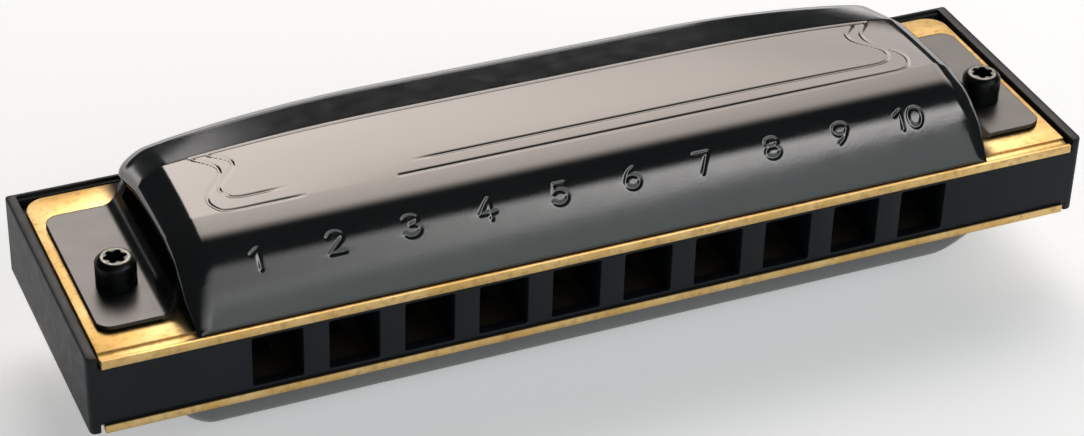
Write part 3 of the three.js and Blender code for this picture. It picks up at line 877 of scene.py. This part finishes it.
def build_cover_nut(node, side, surface):
    """A hexagon nut under the lower cover's tab, chamfered on both faces."""
    seat = -PLATE_FACE - TAB_THICK
    bore = SCREW_SHANK + 0.03
    face = [(bore, 0.1), (bore + 0.1, 0), (1.75, 0), (lambda a: min(hexagon(a), 2.06), 0.02),
            (lambda a: min(hexagon(a), 2.18), 0.1), (hexagon, 0.28)]
    rings = [(radius, seat - NUT_HEIGHT + z) for radius, z in face]
    rings += [(radius, seat - max(z, 0.01)) for radius, z in reversed(face)]
    turned_piece(node, rings, (side * SCREW_X, SCREW_Y), surface, 96, hollow=True)


def build_plate_screw(node, surface):
    """A small pan-head screw with a cross recess."""
    low, top = node_heights(node)
    seat = PLATE_FACE + 0.01
    radius, shank, roll = 1.5, 0.75, 0.5
    rings = [(0.4, low), (0.7, low + 0.3), (shank, low + 0.5), (shank, seat), (radius - 0.06, seat)]
    for sine, cosine in [(0.0, 1.0), *quarter_turn(5)]:
        rings.append((radius - roll * (1 - cosine), top - 0.12 - roll * (1 - sine)))
    rings += [(0.98, top - 0.03), (lambda a: cross_recess(a) + 0.04, top - 0.02)]
    rings += [(cross_recess, top - 0.08), (cross_recess, top - 0.42)]
    rings += [(lambda a: 0.5 * cross_recess(a), top - 0.48)]
    turned_piece(node, rings, node_middle(node), surface, 96)


def build_rivet(node, surface):
    """A reed rivet: a domed head under the reed and a flattened tail on the plate's far side."""
    low, high = node_heights(node)
    head, head_height, shank, tail = 1.05, 0.35, 0.6, 0.95
    head_top = low + head_height
    rings = [(head * sine, head_top - head_height * cosine) for sine, cosine in quarter_turn(5)]
    rings += [(shank, head_top), (shank, high - 0.15), (tail - 0.05, high - 0.15)]
    rings += [(tail, high - 0.1), (tail - 0.06, high - 0.03), (tail - 0.2, high)]
    turned_piece(node, rings, node_middle(node), surface, 28)


# ==== Reeds ====

def reed_half_width(along, length):
    """Half the reed's width at a distance past its rivet: a chamfered pad, then a tapered tongue."""
    stops = (REED_HEEL, REED_HEEL + REED_CHAMFER, REED_SHOULDER - REED_CHAMFER, REED_SHOULDER, length)
    halves = (REED_PAD_HALF - REED_CHAMFER, REED_PAD_HALF, REED_PAD_HALF, REED_ROOT_HALF, REED_TIP_HALF)
    return float(np.interp(along, stops, halves))


def reed_thickness(along, length):
    """The reed is full thickness at its pad, filed thinner along the middle, fuller at the tip."""
    share = (along - REED_SHOULDER) / (length - REED_SHOULDER)
    return float(np.interp(share, (0, 0.12, 0.7, 1), (0.28, 0.17, 0.13, 0.2)))


def build_reed(joint, surface):
    """A reed from its rivet to its tip."""
    node = joint["child"]
    low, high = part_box(node)
    pivot = joint["pos_m"]
    toward = 1 if high.y - pivot[1] > pivot[1] - low.y else -1
    length = max(high.y - pivot[1], pivot[1] - low.y) / MM
    top = (high.z - MIDDLE_Z) / MM
    x0 = pivot[0] / MM
    y0 = (pivot[1] - FRONT_Y) / MM
    stops = [REED_HEEL, REED_HEEL + REED_CHAMFER, -REED_RIVET_HOLE, REED_RIVET_HOLE,
             REED_SHOULDER - REED_CHAMFER, REED_SHOULDER, length]
    alongs = spaced(stops, lambda a: 0.25 if a < REED_SHOULDER else 0.45)
    across = [-1 + i / 5 for i in range(11)]
    bm = bmesh.new()
    rows = []
    for a in alongs:
        half = reed_half_width(a, length)
        rows.append([bm.verts.new((x0 + half * c, y0 + toward * a, top)) for c in across])
    grid_faces(bm, rows)
    punch(bm, (x0, y0), top, REED_RIVET_HOLE, 0.98 * REED_RIVET_HOLE)
    drop_loose(bm)
    border = [e for e in bm.edges if len(e.link_faces) == 1]
    under = {}
    for vertex in list(bm.verts):
        thick = reed_thickness((vertex.co.y - y0) * toward, length)
        under[vertex] = bm.verts.new((vertex.co.x, vertex.co.y, top - thick))
    for face in list(bm.faces):
        bm.faces.new([under[v] for v in reversed(face.verts)])
    for edge in border:
        a, b = edge.verts
        bm.faces.new([a, b, under[b], under[a]])
    outward(bm)
    piece = piece_from(bm, node, surface, rides=False)
    soften(piece, 0.03, 1, 60.0)
    settle(piece, 35.0)
    start = world((x0, y0, top))
    end = world((x0, y0 + toward * length, top))
    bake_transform(piece)


# ==== Materials ====

class NodeTree:
    """Shorthand for building a node tree. Where a value is asked for, a node's output will do too."""

    def __init__(self, tree):
        self.tree = tree

    def new(self, kind):
        return self.tree.nodes.new("ShaderNode" + kind)

    def link(self, output, socket):
        self.tree.links.new(output, socket)

    def fill(self, sockets, values):
        """Sets or links each socket in turn."""
        for socket, value in zip(sockets, values):
            if isinstance(value, bpy.types.NodeSocket):
                self.link(value, socket)
            elif isinstance(value, tuple):
                socket.default_value = (*value, 1.0)
            else:
                socket.default_value = value

    def spread(self, value, low, high, from_low=0.3, from_high=0.7, kind="LINEAR"):
        """A value's usual range stretched onto low..high."""
        node = self.new("MapRange")
        node.interpolation_type = kind
        self.fill(node.inputs, (value, from_low, from_high, low, high))
        return node.outputs["Result"]

    def blend(self, factor, first, second):
        """Two colours mixed."""
        node = self.new("Mix")
        node.data_type = "RGBA"
        self.fill((node.inputs["Factor"], node.inputs[6], node.inputs[7]), (factor, first, second))
        return node.outputs[2]

    def calculate(self, operation, *values):
        """A maths node."""
        node = self.new("Math")
        node.operation = operation
        self.fill(node.inputs, values)
        return node.outputs["Value"]

    def part_of(self, vector, axis):
        """A vector's X, Y or Z."""
        split = self.new("SeparateXYZ")
        self.link(vector, split.inputs["Vector"])
        return split.outputs[axis]


class Surface(NodeTree):
    """A procedural material: a principled shader with noise-driven colour, roughness and bump."""

    def __init__(self, name, metallic, ior=1.5):
        self.name = name
        self.material = bpy.data.materials.new(name)
        self.material.use_nodes = True
        super().__init__(self.material.node_tree)
        self.set("Metallic", metallic)
        self.set("IOR", ior)
        self.place = self.new("TexCoord").outputs["Object"]

    def set(self, name, value):
        self.fill([self.tree.nodes["Principled BSDF"].inputs[name]], [value])

    def noise(self, scale, detail=4.0, stretch=(1, 1, 1)):
        """Noise with scale cells per metre, drawn out along an axis by a stretch under 1."""
        mapping = self.new("Mapping")
        mapping.inputs["Scale"].default_value = stretch
        self.link(self.place, mapping.inputs["Vector"])
        node = self.new("TexNoise")
        sockets = [node.inputs[name] for name in ("Vector", "Scale", "Detail")]
        self.fill(sockets, (mapping.outputs["Vector"], scale, detail))
        return node.outputs["Fac"]

    def outboard(self):
        """1 beyond the foot of the covers' end flanges, 0 within them."""
        from_middle = self.calculate("ABSOLUTE", self.part_of(self.place, "X"))
        return self.spread(from_middle, 0, 1, (FLANGE_TOP_X - 0.7) * MM, (FLANGE_FOOT_X - 0.5) * MM)

    def above_middle(self):
        """A point's height over the comb's middle plane, in metres."""
        return self.calculate("SUBTRACT", self.part_of(self.place, "Z"), MIDDLE_Z)

    def enclosed(self):
        """1 between the reed plates and under the covers, where the brass is painted as shade, 0 where the
        light reaches.
        """
        height = self.calculate("ABSOLUTE", self.above_middle())
        chamber = self.spread(height, 1, 0, PLATE_UNDER * MM, (PLATE_UNDER + 0.1) * MM)
        depth = self.calculate("SUBTRACT", self.part_of(self.place, "Y"), FRONT_Y)
        covered = self.spread(depth, 0, 1, (COVER_FRONT + 0.5) * MM, (COVER_FRONT + 1.0) * MM)
        inboard = self.spread(self.outboard(), 1, 0, 0, 1)
        return self.calculate("MAXIMUM", chamber, self.calculate("MULTIPLY", covered, inboard))

    def facing_inward(self):
        """1 on a cover's inner faces, 0 on its outer ones."""
        upright = self.part_of(self.new("NewGeometry").outputs["Normal"], "Z")
        return self.spread(self.calculate("MULTIPLY", self.above_middle(), upright), 1, 0, -MM, 0)

    def bump(self, *layers):
        """Bump layers, each a height output with its depth in millimetres."""
        normal = None
        for height, depth in layers:
            node = self.new("Bump")
            node.inputs["Distance"].default_value = depth * MM
            self.link(height, node.inputs["Height"])
            if normal:
                self.link(normal, node.inputs["Normal"])
            normal = node.outputs["Normal"]
        self.set("Normal", normal)


def black_lacquer():
    """Smooth black coating with a fine grain, duller on the screw tabs, and with its shine taken off the
    inner faces as painted shade.
    """
    s = Surface("black_lacquer", 0.0, 2.0)
    clouds = s.noise(90, 3)
    s.set("Base Color", s.blend(s.spread(clouds, 0, 1), (0.0065, 0.0085, 0.009), (0.011, 0.0125, 0.013)))
    polish = s.spread(s.noise(500, 5), 0.1, 0.14)
    # Painted shade: the inner faces get full roughness and no shine, so they stay black.
    inside = s.facing_inward()
    tab = s.outboard()
    rough = s.calculate("ADD", polish, s.spread(tab, 0, 0.2, 0, 1))
    s.set("Roughness", s.calculate("MAXIMUM", rough, inside))
    shine = s.calculate("SUBTRACT", s.spread(tab, 0.5, 0.35, 0, 1), inside)
    s.set("Specular IOR Level", s.calculate("MAXIMUM", shine, 0.0))
    s.set("Specular Tint", (1.0, 0.95, 0.915))
    s.bump((s.noise(3800, 3), 0.003), (s.noise(420, 2), 0.004))
    return s


def black_plastic():
    """Satin moulded plastic with a faint grain and a few rubbed places."""
    s = Surface("black_plastic", 0.0, 1.45)
    clouds = s.noise(160, 4)
    s.set("Base Color", s.blend(s.spread(clouds, 0, 1), (0.006, 0.009, 0.012), (0.010, 0.0135, 0.018)))
    s.set("Roughness", s.spread(s.noise(700, 5), 0.36, 0.46))
    s.set("Specular IOR Level", 0.3)
    s.bump((s.noise(6500, 2), 0.003), (s.noise(900, 2, (0.3, 1, 1)), 0.003))
    return s


def brass(name, light, dark, rough, grain, bump):
    """Brass with a mottled tarnish and a fine rolled grain; between the reed plates and under the covers,
    where the light does not reach, its colour is painted near black as painted shade.
    """
    s = Surface(name, 1.0)
    mottle = s.spread(s.noise(230, 7), 0, 1, 0.38, 0.64)
    specks = s.spread(s.noise(1500, 6), 0, 1, 0.5, 0.7)
    tone = s.blend(mottle, light, dark)
    browned = tuple(0.5 * c for c in dark)
    fresh = s.blend(s.spread(specks, 0, 0.45, 0, 1), tone, browned)
    # Painted shade: enclosed brass gets a near-black colour and loses its metal shine.
    inside = s.enclosed()
    s.set("Base Color", s.blend(inside, fresh, tuple(0.03 * c for c in dark)))
    s.set("Metallic", s.spread(inside, 1, 0, 0, 1))
    lines = s.noise(3800, 3, grain)
    dull = s.spread(s.noise(700, 6, grain), rough[0], rough[1])
    s.set("Roughness", s.calculate("MAXIMUM", dull, s.spread(inside, 0, 0.9, 0, 1)))
    s.bump((lines, bump), (s.noise(1300, 4), bump * 1.2))
    return s


def black_steel():
    """Black oxide steel, rubbed bright round the socket's rim."""
    s = Surface("black_steel", 0.85)
    worn = s.new("Attribute")
    worn.attribute_name = "wear"
    patchy = s.spread(s.noise(2600, 5), 0.35, 1.0)
    amount = s.calculate("MULTIPLY", worn.outputs["Fac"], patchy)
    dark = s.blend(s.spread(s.noise(900, 4), 0, 1), (0.012, 0.013, 0.014), (0.024, 0.026, 0.028))
    s.set("Base Color", s.blend(amount, dark, (0.30, 0.29, 0.25)))
    s.set("Roughness", s.spread(s.noise(1500, 5), 0.26, 0.36))
    s.bump((s.noise(5200, 3, (1, 1, 0.15)), 0.004))
    return s


def plain_steel():
    """Plain turned steel with fine rings of tool marks."""
    s = Surface("plain_steel", 1.0)
    s.set("Base Color", s.blend(s.spread(s.noise(800, 5), 0, 1), (0.5, 0.5, 0.52), (0.38, 0.38, 0.39)))
    s.set("Roughness", s.spread(s.noise(1600, 5), 0.26, 0.4))
    s.bump((s.noise(4200, 3, (1, 1, 0.2)), 0.004))
    return s


# ==== Assembly ====

ALONG_LENGTH = (0.06, 1.0, 1.0)  # grain drawn out along the harmonica
ALONG_REED = (1.0, 0.05, 1.0)  # grain drawn out along each reed

lacquer = black_lacquer()
plastic = black_plastic()
plate_brass = brass("plate_brass", (0.97, 0.68, 0.30), (0.84, 0.53, 0.18), (0.34, 0.46), ALONG_LENGTH, 0.006)
reed_brass = brass("reed_brass", (0.66, 0.47, 0.20), (0.55, 0.37, 0.14), (0.2, 0.3), ALONG_REED, 0.003)
rivet_brass = brass("rivet_brass", (0.58, 0.40, 0.17), (0.45, 0.29, 0.11), (0.24, 0.36), (1, 1, 1), 0.003)
dark_steel = black_steel()
bright_steel = plain_steel()

build_cover("upper_cover_plate", True, False, lacquer)
build_cover("lower_cover_plate", False, True, lacquer)
build_comb(plastic)
build_reed_plate("blow_reed_plate", 1, plate_brass)
build_reed_plate("draw_reed_plate", -1, plate_brass)
for side, end in ((-1, "left"), (1, "right")):
    build_cover_screw(f"cover_screw_{end}", side, dark_steel)
    build_cover_nut(f"cover_nut_{end}", side, dark_steel)
for node in sorted(frame["nodes"]):
    if node.startswith("reed_plate_screw"):
        build_plate_screw(node, bright_steel)
    if "rivet" in node:
        build_rivet(node, rivet_brass)
for joint in frame["joints"]:
    build_reed(joint, reed_brass)


# ==== Floor, light and camera ====

def build_floor():
    """A pale floor that glows a little to the eye and, far behind, where the covers mirror it."""
    s = Surface("pale_floor", 0.0)
    s.set("Base Color", s.blend(s.noise(3, 2), (0.84, 0.865, 0.89), (0.86, 0.885, 0.91)))
    s.set("Roughness", 0.9)
    s.set("Emission Color", (1.0, 1.0, 1.0))
    to_the_eye = s.new("LightPath").outputs["Is Camera Ray"]
    to_the_rest = s.calculate("SUBTRACT", 1.0, to_the_eye)
    far_behind = s.spread(s.part_of(s.place, "Y"), 0.17, 0.9, 0.15, 0.4)
    glow = s.calculate("MAXIMUM", s.calculate("MULTIPLY", to_the_eye, 0.4),
                       s.calculate("MULTIPLY", to_the_rest, far_behind))
    s.set("Emission Strength", glow)
    bm = bmesh.new()
    bmesh.ops.create_grid(bm, x_segments=8, y_segments=8, size=4.0)
    floor = object_from(bm, "floor", s)
    gap = 0.02 * MM
    floor.location.z = cad_bounds[0][2] - gap


def softbox(name, middle, size, look_at, radiance, colour):
    """A rectangular soft light; radiance is its brightness to the eye."""
    light = bpy.data.lights.new(name, "AREA")
    light.shape = "RECTANGLE"
    light.size, light.size_y = size
    light.energy = radiance * math.pi * size[0] * size[1]
    light.color = colour
    lamp = new_object(name, light)
    lamp.location = middle
    lamp.rotation_euler = (Vector(look_at) - Vector(middle)).to_track_quat("-Z", "Y").to_euler()
    lamp.visible_camera = False
    return lamp


def fade_softbox(lamp, *fades):
    """Dims a softbox along X or Y; each fade is an axis, a start, an end and the shares at the two."""
    lamp.data.use_nodes = True
    nodes = NodeTree(lamp.data.node_tree)
    place = nodes.new("NewGeometry").outputs["Parametric"]
    strength = 1.0
    for axis, start, end, low, high in fades:
        share = nodes.spread(nodes.part_of(place, axis), low, high, start, end, "SMOOTHSTEP")
        strength = nodes.calculate("MULTIPLY", strength, share)
    nodes.link(strength, nodes.tree.nodes["Emission"].inputs["Strength"])


def build_lights():
    """One wide softbox overhead and behind, and a weaker strip and fill in front."""
    middle = (0, 0, 0)
    warm, cool, bluish = (1.0, 0.92, 0.86), (0.95, 0.98, 1.0), (0.84, 0.98, 1.0)
    overhead = softbox("overhead_softbox", (0.475, 0.62, 0.62), (1.05, 1.28), (0.475, 0.62, 0), 4.3, warm)
    overhead.rotation_euler = (0, 0, 0)
    fade_softbox(overhead, ("Y", 0.0, 0.42, 0.0, 1.0), ("X", 0.25, 0.6, 1.0, 0.6))
    strip = softbox("front_strip", (0.3, -0.76, 0.75), (1.7, 0.3), middle, 3.3, cool)
    fade_softbox(strip, ("Y", 1.0, 0.3, 0.0, 1.0), ("X", 0.42, 0.62, 0.22, 1.0))
    softbox("front_fill", (0.1, -1.0, 0.38), (1.7, 0.6), middle, 0.72, bluish)


def build_room():
    """A dim room that is white to the eye, with a low white backdrop to the right and behind."""
    world_around = bpy.data.worlds.new("room")
    world_around.use_nodes = True
    room = NodeTree(world_around.node_tree)
    way = room.new("TexCoord").outputs["Generated"]
    low_down = room.spread(room.part_of(way, "Z"), 0, 1, 0.26, 0.19, "SMOOTHSTEP")
    behind = room.spread(room.part_of(way, "Y"), 0, 1, 0.1, 0.4)
    middle_x, half_width = 0.28, 0.13
    to_the_right = room.calculate("COMPARE", room.part_of(way, "X"), middle_x, half_width)
    narrow = room.calculate("MULTIPLY", low_down, to_the_right)
    backdrop = room.calculate("MULTIPLY", narrow, behind)
    seen = room.calculate("MAXIMUM", backdrop, room.new("LightPath").outputs["Is Camera Ray"])
    tone = room.blend(seen, (0.028, 0.033, 0.036), (0.95, 0.95, 0.95))
    room.link(tone, room.tree.nodes["Background"].inputs["Color"])
    bpy.context.scene.world = world_around


def build_camera():
    """A long lens from in front, to the left and above, tipped slightly to one side."""
    azimuth, elevation, roll = (math.radians(angle) for angle in (24.13, 34.27, 1.83))
    target = world((0.1, 17.275, -3.75))
    distance = 0.3
    turn = Matrix.Rotation(-azimuth, 4, "Z") @ Matrix.Rotation(math.pi / 2 - elevation, 4, "X")
    tip = Matrix.Rotation(roll, 4, "Z")
    data = bpy.data.cameras.new("camera")
    data.lens = 98.73
    data.sensor_width = 36.0
    data.clip_start = 0.01
    camera = new_object("camera", data)
    camera.matrix_world = Matrix.Translation(target) @ turn @ tip @ Matrix.Translation((0, 0, distance))
    bpy.context.scene.camera = camera


build_floor()
build_lights()
build_room()
build_camera()
bpy.context.scene.view_settings.view_transform = "Standard"
